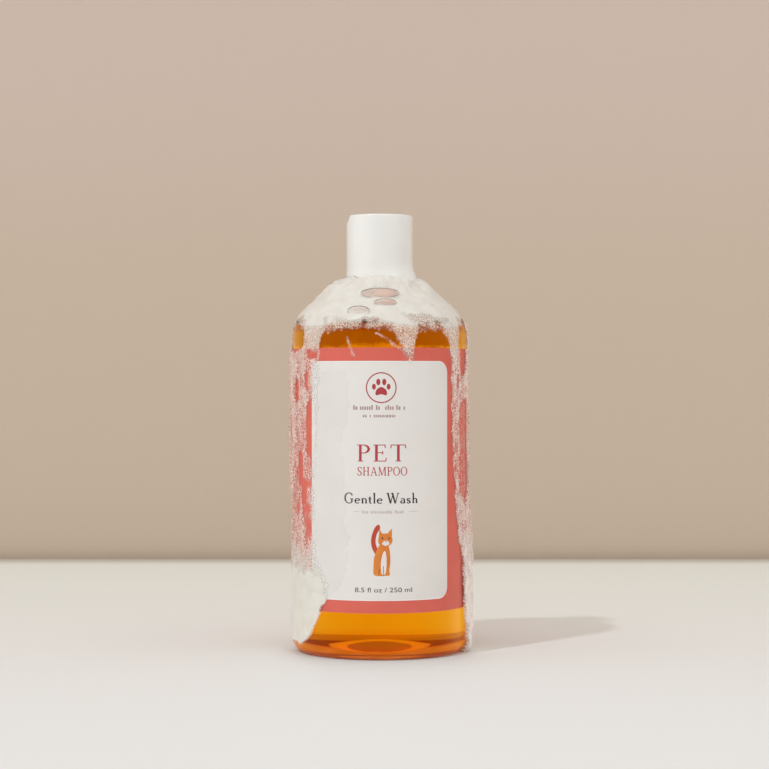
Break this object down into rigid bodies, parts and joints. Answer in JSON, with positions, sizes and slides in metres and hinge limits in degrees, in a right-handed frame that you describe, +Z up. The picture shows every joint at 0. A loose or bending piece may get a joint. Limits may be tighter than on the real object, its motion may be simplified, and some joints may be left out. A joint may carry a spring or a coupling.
{
  "type": "shampoo bottle",
  "caption": "Round clear bottle of liquid shampoo with a wrapped label and a screw cap whose top disc tilts to open a side spout.",
  "frame": {"origin": "centre of the standing ring, on the surface that the bottle stands on", "axes": "+Z up along the bottle's axis, -Y towards the front of the label, +X the side that the spout opens to"},
  "size_m": [0.0578, 0.0579, 0.1445],
  "materials": {
    "clear_pet": "clear and glossy",
    "amber_liquid": "clear amber liquid",
    "label_film": "satin printed film",
    "white_cap": "smooth satin",
    "white_disc": "smooth satin",
    "liner_foam": "matt foam"
  },
  "bodies": {
    "bottle_body": {"bottle": "clear_pet", "shampoo": "amber_liquid", "wrap_label": "label_film"},
    "liner_body": {"seal_liner": "liner_foam"},
    "cap_body": {"cap_shell": "white_cap"},
    "disc_body": {"cap_disc": "white_disc"}
  },
  "joints": [
    {"name": "cap_rise", "type": "slide", "parent": "bottle_body", "child": "liner_body", "axis": [0, 0, 1], "range_m": [0, 0.016]},
    {"name": "cap_turn", "type": "hinge", "parent": "liner_body", "child": "cap_body", "pos_m": [0, 0, 0.134], "axis": [0, 0, 1], "range_deg": [0, 1800]},
    {"name": "disc_tilt", "type": "hinge", "parent": "cap_body", "child": "disc_body", "pos_m": [0, 0, 0.14273], "axis": [0, -1, 0], "range_deg": [0, 28]}
  ],
  "couplings": [
    {"joint": "cap_rise", "follows": "cap_turn", "m_per_rad": 0.00050532}
  ]
}
